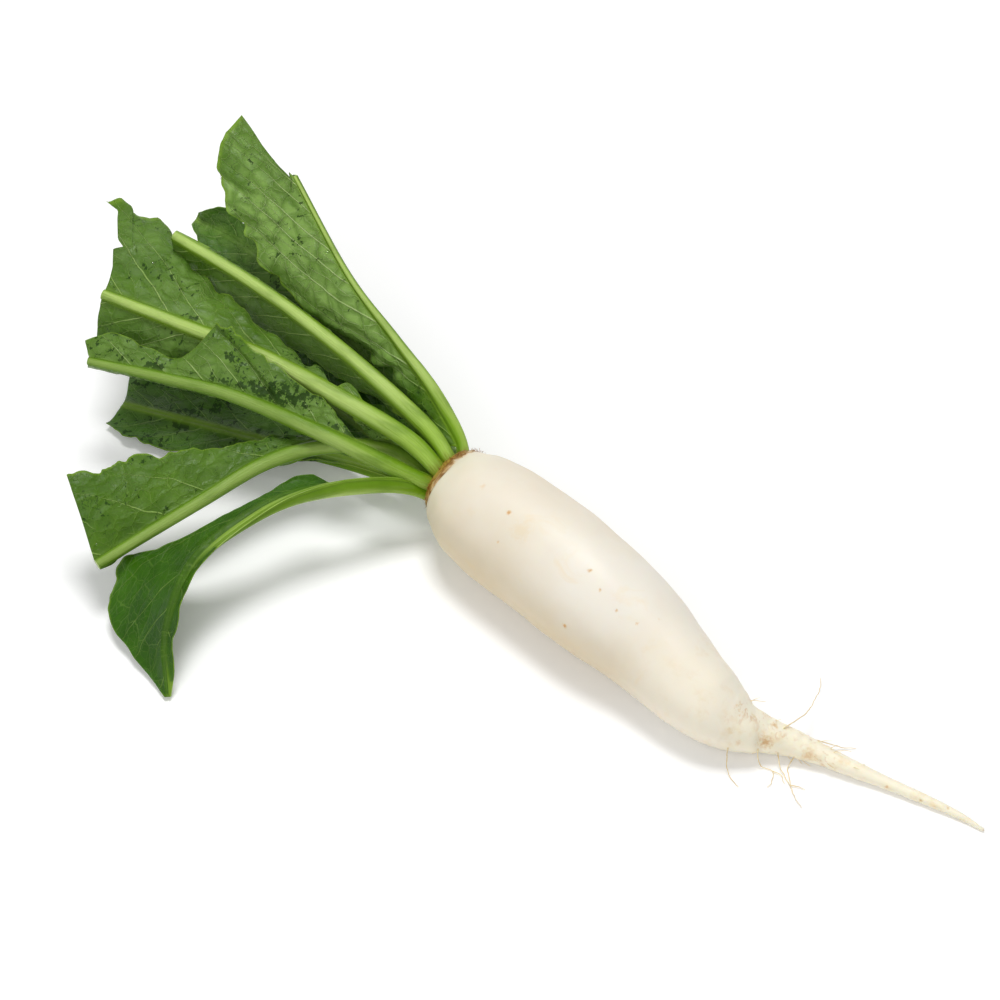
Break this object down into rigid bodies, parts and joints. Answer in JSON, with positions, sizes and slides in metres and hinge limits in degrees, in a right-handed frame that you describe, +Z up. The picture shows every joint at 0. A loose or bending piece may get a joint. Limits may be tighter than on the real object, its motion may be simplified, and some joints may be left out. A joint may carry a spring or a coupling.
{
  "type": "white radish",
  "caption": "Long white radish with its tapering tail root and a trimmed rosette of stalked green leaves, lying on its side.",
  "frame": {"origin": "on the surface that the radish lies on, below the middle of the whole plant's footprint", "axes": "+X along the root from the crown to the tail, +Y away from the side that the drooping leaf hangs to, +Z up"},
  "size_m": [0.5717, 0.2668, 0.1332],
  "materials": {
    "white_skin": "smooth, thin, slightly waxy root skin, cream towards the tail",
    "leaf_green": "fresh leaf, satin, with pale fleshy stalks and a raised net of veins",
    "young_green": "tender young leaf, satin, bright yellow-green",
    "crown_fibre": "dry rust-brown fibres round the crown",
    "water": "clear drops of rinsing water on the leaves"
  },
  "bodies": {
    "root": {"taproot": "white_skin", "leaf_top": "leaf_green", "leaf_upper": "leaf_green", "leaf_middle": "leaf_green", "leaf_front": "leaf_green", "leaf_low": "leaf_green", "leaf_drooping": "leaf_green", "leaf_back": "leaf_green", "leaf_under_front": "leaf_green", "leaf_under_middle": "leaf_green", "leaf_under_back": "leaf_green", "leaf_inner_back": "leaf_green", "heart_leaf_long": "young_green", "heart_leaf_short": "young_green"}
  },
  "joints": []
}
